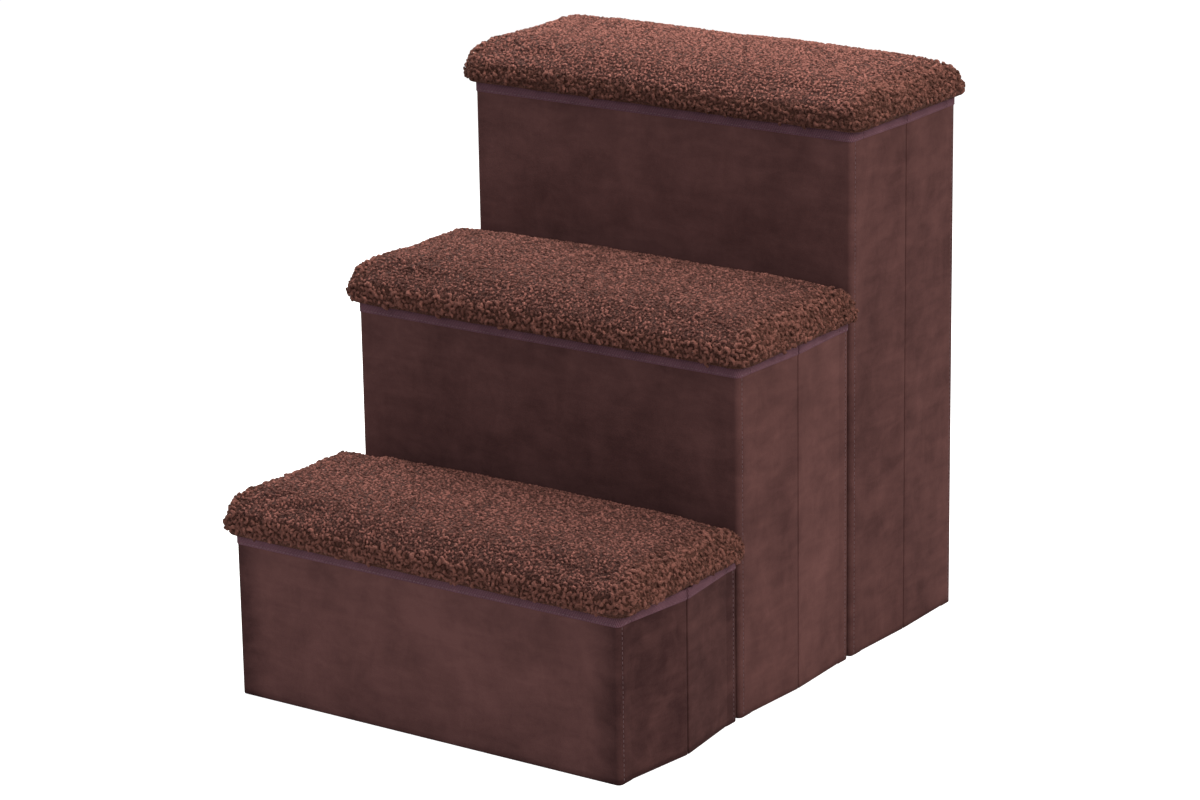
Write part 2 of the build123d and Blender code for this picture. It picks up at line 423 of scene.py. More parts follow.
def black_cloth(colours):
    """Thin bonded cloth with a dotted press pattern."""
    material, tree = new_finish("black lining cloth", Roughness=0.85, Sheen_Weight=0.1)
    where = place_on_piece(tree)
    pressed = ramp(tree, cells(tree, where, 520, 0.15), 0.15, 0.45)
    tone = maths(tree, "MULTIPLY", pressed, scaled(tree, spots(tree, where, 900, 3, 0.7), 0.8, 0.4))
    dark = colours.black_cloth
    return painted(material, tone, dark, times(dark, 2.2), bumped(tree, pressed, 0.0002, 0.6))


def greyboard(colours):
    """Pressed paper board with flecks and faint clouds."""
    material, tree = new_finish("grey board", Roughness=0.9)
    where = place_on_piece(tree)
    flecks = spots(tree, where, 420, 4, 0.75)
    clouds = maths(tree, "MULTIPLY", spots(tree, where, 18, 3), 0.4)
    tone = scaled(tree, ramp(tree, flecks, 0.35, 0.65), 0.6, clouds)
    return painted(material, tone, times(colours.board, 0.7), colours.board, bumped(tree, flecks, 0.0002, 0.5))


def foam(colours):
    """Open-cell foam, with round pores."""
    material, tree = new_finish("open-cell foam", Roughness=0.95)
    pores = ramp(tree, cells(tree, place_on_piece(tree), 700), 0.1, 0.6)
    return painted(material, pores, times(colours.foam, 0.6), colours.foam, bumped(tree, pores, 0.0005, 0.8))


def hook_and_loop(colours):
    """Napped fastening strip, a mass of tiny loops."""
    material, tree = new_finish("hook and loop strip", Roughness=0.9, Sheen_Weight=0.3)
    where = place_on_piece(tree)
    loops = cells(tree, where, 800)
    tone = maths(tree, "MULTIPLY", ramp(tree, loops, 0.0, 0.7), spots(tree, where, 300, 3, 0.7))
    dark = colours.fastener
    return painted(material, tone, dark, times(dark, 3), bumped(tree, loops, 0.0004, 0.8))


FINISHES = {
    "suede": suede, "tape": woven_tape, "thread": thread, "plush": plush, "black_cloth": black_cloth,
    "board": greyboard, "foam": foam, "hook_and_loop": hook_and_loop,
}


def finish(name):
    """The material for a finish, made the first time it is asked for."""
    scene = bpy.context.scene
    if scene.get("finish_" + name) is None:
        scene["finish_" + name] = FINISHES[name](scene.stair_colours)
    return scene["finish_" + name]


# ---------------------------------------------------------------- mesh helpers


def placed(name, data):
    """A new object in the scene, at the origin."""
    obj = bpy.data.objects.new(name, data)
    bpy.context.scene.collection.objects.link(obj)
    return obj


def from_bmesh(name, mesh):
    """A new object made from a bmesh, which is freed."""
    data = bpy.data.meshes.new(name)
    mesh.to_mesh(data)
    mesh.free()
    return placed(name, data)


def piece(name, mesh, material, sharp_angle=40):
    """A finished object made from a bmesh, smooth but for its sharp edges."""
    obj = from_bmesh(name, mesh)
    obj.data.materials.append(material)
    obj.data.shade_smooth()
    obj.data.set_sharp_from_angle(angle=math.radians(sharp_angle))
    return obj


def plain_mesh(obj):
    """Replaces an object's mesh by what its modifiers make of it, and removes them."""
    bpy.context.view_layer.update()
    evaluated = obj.evaluated_get(bpy.context.evaluated_depsgraph_get())
    mesh = bpy.data.meshes.new_from_object(evaluated)
    obj.modifiers.clear()
    obj.data = mesh
    return obj


def along(start, end, count):
    """Points on a straight line, with its start and without its end."""
    return [tuple(a + (b - a) * i / count for a, b in zip(start, end)) for i in range(count)]


def around(middle, radius, from_angle, to_angle, count):
    """Points on an arc, with its start and without its end, in degrees."""
    turns = (math.radians(from_angle + (to_angle - from_angle) * i / count) for i in range(count))
    return [(middle[0] + radius * math.cos(t), middle[1] + radius * math.sin(t)) for t in turns]


def mirrored(path):
    """A path of plan points across the stairs' middle plane, run the other way."""
    return [(-x, y) for x, y in reversed(path)]


def heights(low, high, step):
    """Heights from low to high, about step apart."""
    count = max(1, round((high - low) / step))
    return [low + (high - low) * i / count for i in range(count + 1)]


def drift(point, scale, seed):
    """Smooth noise from -1 to 1."""
    return noise.noise(Vector(point) * scale + Vector((seed, 2 * seed, 3 * seed)))


def skin(mesh, rings):
    """The faces between closed rings of vertices, row by row, and then a cap at each end."""
    faces = []
    for low, high in zip(rings, rings[1:]):
        for i in range(len(low)):
            after = (i + 1) % len(low)
            faces.append(mesh.faces.new((low[i], low[after], high[after], high[i])))
    return faces + [mesh.faces.new(rings[0]), mesh.faces.new(rings[-1])]


def upright_shell(name, rings, kind, nap_and_painted_light=(0.0, 0.0)):
    """A closed shell through upright rings of points, with a UV map that runs round and up it.

    The painted light is how much lighter (above 0) or darker (below 0) the suede is painted for how the light
    falls on it, inside and at both ends of the width.
    """
    mesh = bmesh.new()
    strip = mesh.loops.layers.uv.new("strip")
    # Each point carries its painted light and shade, which the suede adds to its tone
    brushed = mesh.verts.layers.float.new("nap_and_painted_light")
    count = len(rings[0])
    middle_ring = [Vector(point) for point in rings[len(rings) // 2]]
    run = [0.0]
    for i in range(count):
        run.append(run[-1] + (middle_ring[(i + 1) % count] - middle_ring[i]).length)
    faces = skin(mesh, [[mesh.verts.new(point) for point in ring] for ring in rings])
    for number, face in enumerate(faces[:-2]):
        start, end = run[number % count], run[number % count + 1]
        for loop, u in zip(face.loops, (start, end, end, start)):
            loop[strip].uv = (u, loop.vert.co.z)
    for cap in faces[-2:]:
        for loop in cap.loops:
            loop[strip].uv = loop.vert.co.xy
    # Painted light and shade: the inside's value, blending into the ends' value near both ends of the width
    for vertex in mesh.verts:
        to_end = clamped((abs(vertex.co.x) - HALF_WIDTH + 0.03) / 0.026)
        vertex[brushed] = nap_and_painted_light[0] + (nap_and_painted_light[1] - nap_and_painted_light[0]) * to_end
    bmesh.ops.recalc_face_normals(mesh, faces=mesh.faces)
    return piece(name, mesh, finish(kind))


# ---------------------------------------------------------------- panels


def swell(point, waves):
    """Height of the cloth's coarse and fine waves at a point."""
    coarse, fine = waves
    return drift(point, *coarse) + 0.5 * drift(point, *fine)


def ripple_at(step, height, start):
    """How much of its ripple the cloth has at a height: none below the start and under the tape."""
    return clamped(min((height - start) / FLOOR_FADE, (RIMS[step] - TAPE_HEIGHT - height) / TAPE_FADE))


def wall_plan(outset, seam):
    """Plan of a back wall's sleeve grown by outset: round the outside, then back along the inside.

    It takes in the web at each end, which reaches to the corner hinge. The seam is the depth of the
    sewn groove just round each outer corner.
    """
    outer = HALF_WIDTH + outset
    face = HALF_DEPTH + outset
    bend = WALL_CORNER + outset
    web_inside = HALF_WIDTH - CLOTH - outset
    inside = HALF_DEPTH - WALL - outset
    web_end = WEB_END - outset
    right = along((outer, web_end), (outer, SEAM - SEAM_HALF_WIDTH), 4)
    right += [(outer, SEAM - SEAM_HALF_WIDTH), (outer - seam, SEAM), (outer, SEAM + SEAM_HALF_WIDTH)]
    right += around((outer - bend, face - bend), bend, 0, 90, 7)
    right += along((outer - bend, face), (0, face), 26)
    inner_left = along((-web_inside, web_end), (-web_inside, inside), 2)
    inner_left += along((-web_inside, inside), (0, inside), 14)
    return right + [(0, face)] + mirrored(right) + inner_left + [(0, inside)] + mirrored(inner_left)


def wall_ring(step, end, outset, height, sizes=None):
    """One ring of a wall's sleeve. Sizes are given where it has its seams, and the ripple on its outer face."""
    way = WAY_OF_END[end]
    flat_end = HALF_WIDTH - WALL_CORNER
    from_ends = ripple_at(step, height, 0.002)
    ring = []
    for x, y in wall_plan(outset, sizes.seam_depth if sizes else 0.0):
        point = Vector((x, MIDDLES[step] + way * y, height))
        if sizes and y > HALF_DEPTH - 0.0001 and abs(x) < flat_end:
            from_side = min(1.0, (flat_end - abs(x)) / WALL_END_FADE)
            point.y += way * sizes.cloth_ripple * (0.6 * swell(point, WALL_WAVES) - 0.2) * from_side * from_ends
        ring.append(point)
    return ring


def fold_lean(step):
    """Angle by which a side half leans out towards the fold."""
    return math.atan2(FOLD_BULGES[step], WEB_END)


def to_side(half, point):
    """A point of the back right side half, measured from its corner hinge, in the whole frame.

    A half is named by its step, its side and its end.
    """
    step, side, end = half
    lean = fold_lean(step)
    x, y = point
    across = CORNER_AXIS + x * math.cos(lean) - y * math.sin(lean)
    deep = WEB_END + x * math.sin(lean) + y * math.cos(lean)
    return WAY_OF_SIDE[side] * across, MIDDLES[step] + WAY_OF_END[end] * deep


def side_ends(step):
    """Places of a side half's two ends along it, from its corner hinge."""
    lean = fold_lean(step)
    reach = (WEB_END + FOLD_AXIS_OFFSET * math.sin(lean)) / math.cos(lean)
    setback = (FOLD_AXIS_OFFSET + TAPE - (CLOTH - SIDE)) * math.tan(lean) + FOLD_GAP
    return -(TAPE + SEAT_GAP), setback - reach


def side_plan(step, outset):
    """Plan of a side half, with the end at the fold rounded."""
    near, fold = side_ends(step)
    outer, inner = CLOTH + outset, CLOTH - SIDE - outset
    bend = FOLD_ROUNDING
    plan = along((outer, near), (outer, fold + bend), 9)
    plan += around((outer - bend, fold + bend), bend, 0, -90, 5)
    plan += [(outer - bend, fold)]
    plan += around((inner + bend, fold + bend), bend, -90, -180, 4)
    plan += along((inner, fold + bend), (inner, near), 6)
    return plan + [(inner, near)]


def side_ring(half, outset, height, sizes=None):
    """One ring of a side half's sleeve. Sizes are given where it has the ripple on its outer face."""
    step = half[0]
    near, fold = side_ends(step)
    from_ends = ripple_at(step, height, FIRST_ROW)
    ring = []
    for x, y in side_plan(step, outset):
        point = Vector((*to_side(half, (x, y)), height))
        if sizes and x > CLOTH - 0.0001:
            share = min(clamped(min(near - y, y - fold - 0.001) / SIDE_END_FADE), from_ends)
            rippled = x + sizes.cloth_ripple * (0.5 * swell(point, SIDE_WAVES) - 0.25) * share
            point = Vector((*to_side(half, (rippled, y)), height))
        ring.append(point)
    return ring


def panel_sleeve(panel, step, ring, foot, nap_and_painted_light, sizes):
    """A panel's suede sleeve. The ring function gives its outline at an outset and a height."""
    rings = [ring(outset, height) for height, outset in foot]
    rings += [ring(0.0, height, sizes) for height in heights(FIRST_ROW, RIMS[step] - TAPE, ROW_STEP)]
    # The sleeve carries the panel's painted light and shade
    return upright_shell(f"{panel}_suede", rings, "suede", nap_and_painted_light)


def panel_tape(panel, step, ring):
    """The tape bound over a panel's rim, with its upper edge rounded."""
    top = RIMS[step]
    foot = top - TAPE_HEIGHT
    rows = [(foot, -0.0002), (foot + 0.0003, 0.0)]
    rows += [(height, 0.0) for height in heights(foot + 0.002, top - 0.0009, 0.004)]
    rows += [(top - 0.0003, -0.0003), (top, -0.0008)]
    return upright_shell(f"{panel}_tape", [ring(TAPE + inset, height) for height, inset in rows], "tape")


def cloth_strip(name, path, low, high, kind, nap_and_painted_light):
    """A narrow upright strip of cloth behind a path of plan points, its thickness towards the box."""
    inward = -1 if path[0][0] > 0 else 1
    ring = path + [(x + inward * STRIP, y) for x, y in reversed(path)]
    rings = [[(x, y, height) for x, y in ring] for height in heights(low, high, 0.02)]
    # The strip takes the painted light and shade given for it
    return upright_shell(name, rings, kind, (0.0, nap_and_painted_light))


def corner_strip(half):
    """The cloth at a corner hinge, between a wall's web and a side half."""
    step, side, end = half
    near, _ = side_ends(step)
    web = (WAY_OF_SIDE[side] * HALF_WIDTH, MIDDLES[step] + WAY_OF_END[end] * (WEB_END + STRIP_GAP))
    edge = to_side(half, (CLOTH, near - STRIP_GAP))
    path = along(web, edge, 4) + [edge]
    # With the painted light and shade of its side half
    return cloth_strip(f"{step}_{side}_{end}_corner_cloth", path, SIDE_LIFT, RIMS[step] - TAPE, "suede",
                       SIDE_PAINTED_LIGHT[step, end])


def crease_strip(step, side, kind):
    """The cloth at a side's middle fold: a narrow valley between the two halves."""
    if kind == "tape":
        outer, low, high = CLOTH + TAPE, RIMS[step] - TAPE_HEIGHT + 0.0002, RIMS[step] - 0.0006
    else:
        outer, low, high = CLOTH, SIDE_LIFT + 0.0003, RIMS[step] - TAPE
    _, fold = side_ends(step)
    half = (step, side, "back")
    edge = to_side(half, (outer - CREASE_LIP, fold - STRIP_GAP))
    deep = to_side(half, (outer - CREASE_BOTTOM, fold - 0.0004))
    middle = MIDDLES[step]
    path = [edge, deep, (deep[0], middle), (deep[0], 2 * middle - deep[1]), (edge[0], 2 * middle - edge[1])]
    # Painted shade: the crease's suede is painted a little darker than the front half's
    return cloth_strip(f"{step}_{side}_crease_{kind}", path, low, high, kind, SIDE_PAINTED_LIGHT[step, "front"] - 0.04)


# ---------------------------------------------------------------- what geometry nodes lay


def new_tree(name, numbers, counts=()):
    """A geometry nodes tree with inputs for a surface, numbers, counts and a finish, and the inputs' values."""
    tree = bpy.data.node_groups.new(name, "GeometryNodeTree")
    tree.interface.new_socket("Geometry", in_out="OUTPUT", socket_type="NodeSocketGeometry")
    inputs = [("Geometry", "Geometry"), *((each, "Float") for each in numbers), *((each, "Int") for each in counts)]
    for each, kind in inputs + [("Finish", "Material")]:
        tree.interface.new_socket(each, in_out="INPUT", socket_type="NodeSocket" + kind)
    return tree, add(tree, "NodeGroupInput").outputs


def end_tree(tree, laid, material):
    """Ends a tree: what it has laid becomes real and smooth, and gets its finish."""
    real = add(tree, "GeometryNodeRealizeInstances", {"Geometry": laid.outputs[0]})
    smooth = add(tree, "GeometryNodeSetShadeSmooth", {"Geometry": real.outputs[0]})
    made = add(tree, "GeometryNodeSetMaterial", {"Geometry": smooth.outputs[0], "Material": material})
    add(tree, "NodeGroupOutput", {"Geometry": made.outputs[0]})
    return tree


def grown(obj, build, values, kind):
    """Runs a geometry nodes tree on an object, and leaves the plain mesh that it makes."""
    tree = bpy.data.node_groups.get(build.__name__) or build()
    modifier = obj.modifiers.new("laid", "NODES")
    modifier.node_group = tree
    values = {**values, "Finish": finish(kind)}
    for item in tree.interface.items_tree:
        if item.in_out == "INPUT" and item.name in values:
            modifier[item.identifier] = values[item.name]
    return plain_mesh(obj)


def stitch_row():
    """Geometry nodes that lay short stitches along an object's loose edges."""
    tree, given = new_tree("stitch_row", ("Spacing", "Stitch Length", "Thread Thickness"))
    line = add(tree, "GeometryNodeMeshToCurve", {"Mesh": given["Geometry"]})
    spaced_values = {"Curve": line.outputs[0], "Length": given["Spacing"]}
    spaced = add(tree, "GeometryNodeResampleCurve", spaced_values, mode="LENGTH")
    bead = add(tree, "GeometryNodeMeshIcoSphere", {"Radius": 0.5, "Subdivisions": 1})
    tangent = add(tree, "GeometryNodeInputTangent").outputs[0]
    way = add(tree, "FunctionNodeAlignRotationToVector", {"Vector": tangent}, axis="X")
    size = add(tree, "ShaderNodeCombineXYZ", {
        "X": given["Stitch Length"], "Y": given["Thread Thickness"], "Z": given["Thread Thickness"]})
    laid = add(tree, "GeometryNodeInstanceOnPoints", {
        "Points": spaced.outputs[0], "Instance": bead.outputs[0], "Rotation": way.outputs[0], "Scale": size.outputs[0]})
    return end_tree(tree, laid, given["Finish"])


def between(tree, value, low, high):
    """Whether a value is at least low and below high."""
    over = add(tree, "FunctionNodeCompare", {0: value, 1: low}, operation="GREATER_EQUAL").outputs[0]
    under = add(tree, "FunctionNodeCompare", {0: value, 1: high}, operation="LESS_THAN").outputs[0]
    return add(tree, "FunctionNodeBooleanMath", {0: over, 1: under}, operation="AND").outputs[0]


def random_number(tree, low, high, seed, seed_step):
    """A random number for each tuft."""
    values = {2: low, 3: high, "Seed": maths(tree, "ADD", seed, seed_step)}
    return add(tree, "FunctionNodeRandomValue", values, data_type="FLOAT").outputs[1]


def keep_number(tree, geometry, name, value, domain):
    """Geometry that carries a named number."""
    values = {"Geometry": geometry.outputs[0], "Name": name, "Value": value}
    return add(tree, "GeometryNodeStoreNamedAttribute", values, data_type="FLOAT", domain=domain)


def bent_tuft(tree, given):
    """One tuft: an arc of pile, thickest at its crest, set back so that its ends stand in the surface."""
    arc = add(tree, "GeometryNodeCurveArc", {
        "Resolution": given["Segments"], "Radius": given["Curl Radius"], "Sweep Angle": given["Sweep"]}, mode="RADIUS")
    along_it = add(tree, "GeometryNodeSplineParameter").outputs[0]
    bow = maths(tree, "SINE", maths(tree, "MULTIPLY", along_it, math.pi))
    # Each point keeps how near it is to the crest; the plush paints a highlight there and shade towards the ends
    crested = keep_number(tree, arc, "crest", bow, "POINT")
    ring = add(tree, "GeometryNodeCurvePrimitiveCircle", {"Resolution": 4, "Radius": given["Tuft Thickness"]})
    tuft = add(tree, "GeometryNodeCurveToMesh", {
        "Curve": crested.outputs[0], "Profile Curve": ring.outputs[0], "Scale": scaled(tree, bow, 0.45, 0.6),
        "Fill Caps": True})
    set_back = add(tree, "ShaderNodeCombineXYZ", {"Y": maths(tree, "MULTIPLY", given["Curl Radius"], -0.55)})
    values = {"Geometry": tuft.outputs[0], "Translation": set_back.outputs[0]}
    return add(tree, "GeometryNodeTransform", values).outputs[0]


def tuft_turn(tree, given, points):
    """A random turn and lean for each tuft, about the surface's own direction."""
    back = maths(tree, "MULTIPLY", given["Tilt"], -1.0)
    low = add(tree, "ShaderNodeCombineXYZ", {"X": back, "Y": back, "Z": 0.0})
    high = add(tree, "ShaderNodeCombineXYZ", {"X": given["Tilt"], "Y": given["Tilt"], "Z": 2 * math.pi})
    values = {0: low.outputs[0], 1: high.outputs[0], "Seed": given["Seed"]}
    lean = add(tree, "FunctionNodeRandomValue", values, data_type="FLOAT_VECTOR")
    lean_turn = add(tree, "FunctionNodeEulerToRotation", {"Euler": lean.outputs[0]})
    values = {"Rotation": points.outputs["Rotation"], "Rotate By": lean_turn.outputs[0]}
    return add(tree, "FunctionNodeRotateRotation", values, rotation_space="LOCAL").outputs[0]


def tuft_gain(tree, given, points):
    """Painted light: how much lighter a tuft is painted where it faces forward or up, and a painted highlight where it
    stands on the front crest.
    """
    facing = parts_of(tree, points.outputs["Normal"])
    forward = maths(tree, "MAXIMUM", maths(tree, "MULTIPLY", facing[1], -1.0), 0.0)
    off_crest = maths(tree, "ABSOLUTE", maths(tree, "SUBTRACT", facing[2], 0.82))
    on_crest = maths(tree, "MAXIMUM", scaled(tree, off_crest, -7.0, 1.0), 0.0)
    on_crest = maths(tree, "MULTIPLY", on_crest, maths(tree, "GREATER_THAN", forward, 0.15))
    upward = maths(tree, "MULTIPLY", maths(tree, "SUBTRACT", facing[2], 0.5), 3.3)
    upward = maths(tree, "MINIMUM", maths(tree, "MAXIMUM", upward, 0.0), 1.0)
    gain = scaled(tree, forward, given["Front Gain"], 1.0)
    gain = scaled(tree, on_crest, given["Crest Gain"], gain)
    return scaled(tree, upward, given["Top Gain"], gain)


def curled_pile():
    """Geometry nodes that scatter bent tufts of pile over a surface, chosen by how near its edge they are."""
    numbers = ("Spacing", "Curl Radius", "Tuft Thickness", "Sweep", "Tilt", "Size Variation", "Edge From",
               "Edge To", "Lowest", "Darkest", "Lightest", "Front Gain", "Crest Gain", "Top Gain")
    tree, given = new_tree("curled_pile", numbers, ("Seed", "Segments"))
    edge = add(tree, "GeometryNodeInputNamedAttribute", {"Name": "edge"}, data_type="FLOAT").outputs[0]
    inside = between(tree, edge, given["Edge From"], given["Edge To"])
    up = parts_of(tree, add(tree, "GeometryNodeInputNormal").outputs[0])[2]
    facing = add(tree, "FunctionNodeCompare", {0: up, 1: given["Lowest"]}, operation="GREATER_THAN").outputs[0]
    chosen = add(tree, "FunctionNodeBooleanMath", {0: inside, 1: facing}, operation="AND").outputs[0]
    points = add(tree, "GeometryNodeDistributePointsOnFaces", {
        "Mesh": given["Geometry"], "Selection": chosen, "Distance Min": given["Spacing"], "Density Max": 250000.0,
        "Density Factor": 1.0, "Seed": given["Seed"]}, distribute_method="POISSON")
    smallest = maths(tree, "SUBTRACT", 1.0, given["Size Variation"])
    largest = maths(tree, "ADD", 1.0, given["Size Variation"])
    laid = add(tree, "GeometryNodeInstanceOnPoints", {
        "Points": points.outputs["Points"], "Instance": bent_tuft(tree, given),
        "Rotation": tuft_turn(tree, given, points),
        "Scale": random_number(tree, smallest, largest, given["Seed"], 7.0)})
    tone = random_number(tree, given["Darkest"], given["Lightest"], given["Seed"], 19.0)
    # Each tuft's own tone, times its painted light
    tone = maths(tree, "MULTIPLY", tone, tuft_gain(tree, given, points))
    toned = keep_number(tree, laid, "curl_tone", tone, "INSTANCE")
    return end_tree(tree, toned, given["Finish"])


def stitches(name, paths, sizes):
    """Stitches along several paths, as one plain mesh."""
    mesh = bmesh.new()
    for path in paths:
        mesh.edges.new([mesh.verts.new(point) for point in path])
    values = {"Spacing": sizes.stitch_spacing, "Stitch Length": sizes.stitch_length,
              "Thread Thickness": sizes.thread_thickness}
    return grown(from_bmesh(name, mesh), stitch_row, values, "thread")


def wall_stitch_paths(step, end):
    """Paths of the stitching on one wall: along the tape's lower edge, and down both corner seams."""
    middle, way = MIDDLES[step], WAY_OF_END[end]
    foot = RIMS[step] - TAPE_HEIGHT
    line = foot + STITCH_LINE
    face, reach = middle + way * (HALF_DEPTH + TAPE), HALF_WIDTH - STITCH_END
    paths = [[(x, face, line) for x in (-reach, reach)]]
    for sign in (-1, 1):
        side = sign * (HALF_WIDTH + TAPE)
        paths.append([(side, middle + way * y, line) for y in (WEB_END + 0.001, HALF_DEPTH - WALL_CORNER)])
        seam_x = sign * (HALF_WIDTH - 0.0001)
        paths.append([(seam_x, middle + way * SEAM, height) for height in (0.004, foot - 0.002)])
    return paths


def side_stitch_paths(half):
    """Path of the stitching along the tape's lower edge on one half of a side panel."""
    near, fold = side_ends(half[0])
    line = RIMS[half[0]] - TAPE_HEIGHT + STITCH_LINE
    out = CLOTH + TAPE - 0.0002
    return [[(*to_side(half, point), line) for point in ((out, near - 0.001), (out, fold + 0.002))]]


# ---------------------------------------------------------------- lids


def lid_outline(inset):
    """A lid's outline drawn in by inset, in plan, from the middle of its box."""
    half_width = LID_HALF_WIDTH - inset
    bend = 0.016 + inset / 2
    outline = []
    for sign, y, start in ((1, LID_FRONT + inset + bend, -90), (1, LID_BACK - inset - bend, 0),
                           (-1, LID_BACK - inset - bend, 90), (-1, LID_FRONT + inset + bend, 180)):
        middle = (sign * (half_width - bend), y)
        outline += around(middle, bend, start, start + 90, 10) + around(middle, bend, start + 90, start + 91, 1)
    return outline


def pad_start(pile):
    """The pad before it is blown up: a slab with a low crown, from the lid's outline drawn in by the pile."""
    mesh = bmesh.new()
    middle_y = (LID_FRONT + LID_BACK) / 2
    outlines = [[(x, y, z) for x, y in lid_outline(pile + inset)] for inset, z in PAD_ROWS]
    outlines += [[(x * (0.1 + 0.9 * share), middle_y + (y - middle_y) * share, z) for x, y, z in outlines[-1]]
                 for share in PAD_CROWN]
    rings = []
    for outline in outlines:
        ring = []
        for x, y, z in outline:
            deep, wide = abs(y - middle_y) / (LID_BACK - middle_y), abs(x) / LID_HALF_WIDTH
            drop, width_power, depth_power = BACK_CORNER_DROP if y > middle_y else FRONT_CORNER_DROP
            arch = PAD_ARCH * (1 - deep**2.8) - drop * wide**width_power * deep**depth_power
            bulge = PAD_BULGE * math.sin(math.pi * min(1.0, z / 0.025)) * wide**8
            place = (x + math.copysign(bulge, x), y, z + arch * clamped((z - 0.008) / 0.013))
            ring.append(mesh.verts.new(place))
        rings.append(ring)
    bmesh.ops.recalc_face_normals(mesh, faces=skin(mesh, rings))
    return mesh


def blown_up(obj, pressure):
    """Blows the pad up as cloth under pressure, with its underside held on the board.

    The swelling is capped, less round the sides than on top.
    """
    group = obj.vertex_groups.new(name="on the board")
    start = [vertex.co.copy() for vertex in obj.data.vertices]
    group.add([i for i, place in enumerate(start) if place.z < PAD_FLOOR + HELD_HEIGHT], 1.0, "REPLACE")
    modifier = obj.modifiers.new("padding", "CLOTH")
    settings = modifier.settings
    values = {"quality": 5, "mass": 0.15, "tension_stiffness": 12, "compression_stiffness": 12,
              "shear_stiffness": 5, "bending_stiffness": 0.5, "use_pressure": True,
              "uniform_pressure_force": pressure, "vertex_group_mass": "on the board"}
    for name, value in values.items():
        setattr(settings, name, value)
    settings.effector_weights.gravity = 0
    modifier.point_cache.frame_start = 1
    modifier.point_cache.frame_end = SWELL_FRAMES
    scene = bpy.context.scene
    for number in range(1, SWELL_FRAMES + 1):
        scene.frame_set(number)
    plain_mesh(obj)
    scene.frame_set(1)
    for vertex, place in zip(obj.data.vertices, start):
        moved = vertex.co - place
        level = Vector((moved.x, moved.y, 0))
        if level.length > SIDE_SWELL:
            level *= SIDE_SWELL / level.length
        vertex.co = place + level + Vector((0, 0, max(-TOP_SWELL, min(TOP_SWELL, moved.z))))
        vertex.co.z = max(vertex.co.z, PAD_FLOOR)
    obj.vertex_groups.clear()


def lid_pad(sizes):
    """The padded body that all three lids share, at the origin with its underside at its own height."""
    obj = from_bmesh("pad", pad_start(sizes.pile_height))
    remesh = obj.modifiers.new("remesh", "REMESH")
    remesh.mode = "VOXEL"
    remesh.voxel_size = PAD_VOXEL
    plain_mesh(obj)
    blown_up(obj, sizes.pad_pressure)
    subdivision = obj.modifiers.new("subdivision", "SUBSURF")
    subdivision.levels = subdivision.render_levels = 1
    plain_mesh(obj)
    for vertex in obj.data.vertices:
        vertex.co.z = max(vertex.co.z, PAD_FLOOR)
    pad = obj.data
    bpy.data.objects.remove(obj)
    return pad


def hem_path():
    """Path of the plush hem that hangs round the front and both ends of a lid, just outside the rim."""
    side, front, bend = HALF_WIDTH + HEM_OUT_END, HALF_DEPTH + HEM_OUT_FRONT, HEM_BEND
    half = along((side, HEM_BACK), (side, -front + bend), 22)
    half += around((side - bend, -front + bend), bend, 0, -90, 7)
    half += along((side - bend, -front), (0, -front), 26)
    return half + [(0, -front)] + mirrored(half)


def add_hem(mesh, offset):
    """Adds the plush hem, a soft roll that hangs a little below the rim, to a bmesh."""
    path = hem_path()
    rings = []
    for i, (x, y) in enumerate(path):
        before, after = path[max(0, i - 1)], path[min(len(path) - 1, i + 1)]
        way = Vector((after[0] - before[0], after[1] - before[1], 0)).normalized()
        out = Vector((-way.y, way.x, 0))
        place = Vector((x, y, HEM_RISE))
        drop = HEM_HALF_HEIGHT + HEM_WAVE * drift(place + offset, 40, 4.4)
        ring = []
        for k in range(HEM_SIDES):
            turn = 2 * math.pi * (k + 0.5) / HEM_SIDES
            across, up = math.cos(turn), math.sin(turn)
            level = math.copysign(abs(across) ** 0.6, across) * HEM_HALF_THICKNESS
            rise = math.copysign(abs(up) ** 0.8, up) * drop
            ring.append(mesh.verts.new(place + offset + out * level + Vector((0, 0, rise))))
        rings.append(ring)
    bmesh.ops.recalc_face_normals(mesh, faces=skin(mesh, rings))


def lid_base(step, pad):
    """One lid's plush body: the pad, gently waved, and its hem, with how near each point is to the lid's edge."""
    offset = Vector((0, MIDDLES[step], RIMS[step]))
    seed = 2.0 + 3.0 * STEPS.index(step)
    mesh = bmesh.new()
    mesh.from_mesh(pad)
    for vertex in mesh.verts:
        place = vertex.co.copy()
        if place.z > WAVE_START:
            share = min(1.0, (place.z - WAVE_START) / WAVE_FADE)
            out = FACE_WAVE[1] * drift(place, FACE_WAVE[0], seed + 1) * share
            vertex.co.z += sum(drift(place, scale, seed) * wave for scale, wave in PLUSH_WAVES) * share
            if place.y < -0.08:
                vertex.co.y -= out
            if abs(place.x) > HALF_WIDTH:
                vertex.co.x += math.copysign(out, place.x)
        vertex.co += offset
    add_hem(mesh, offset)
    edge = mesh.verts.layers.float.new("edge")
    for vertex in mesh.verts:
        place = vertex.co - offset
        to_end = LID_HALF_WIDTH - abs(place.x)
        to_face = min(place.y - LID_FRONT, LID_BACK - place.y)
        low = 1.0 if place.z < 0.016 else 0.0
        vertex[edge] = max(1 - clamped((to_end - 0.006) / 0.02), 1 - clamped((to_face - 0.003) / 0.004), low)
    return piece(f"{step}_lid_plush_pad", mesh, finish("plush"), 80)


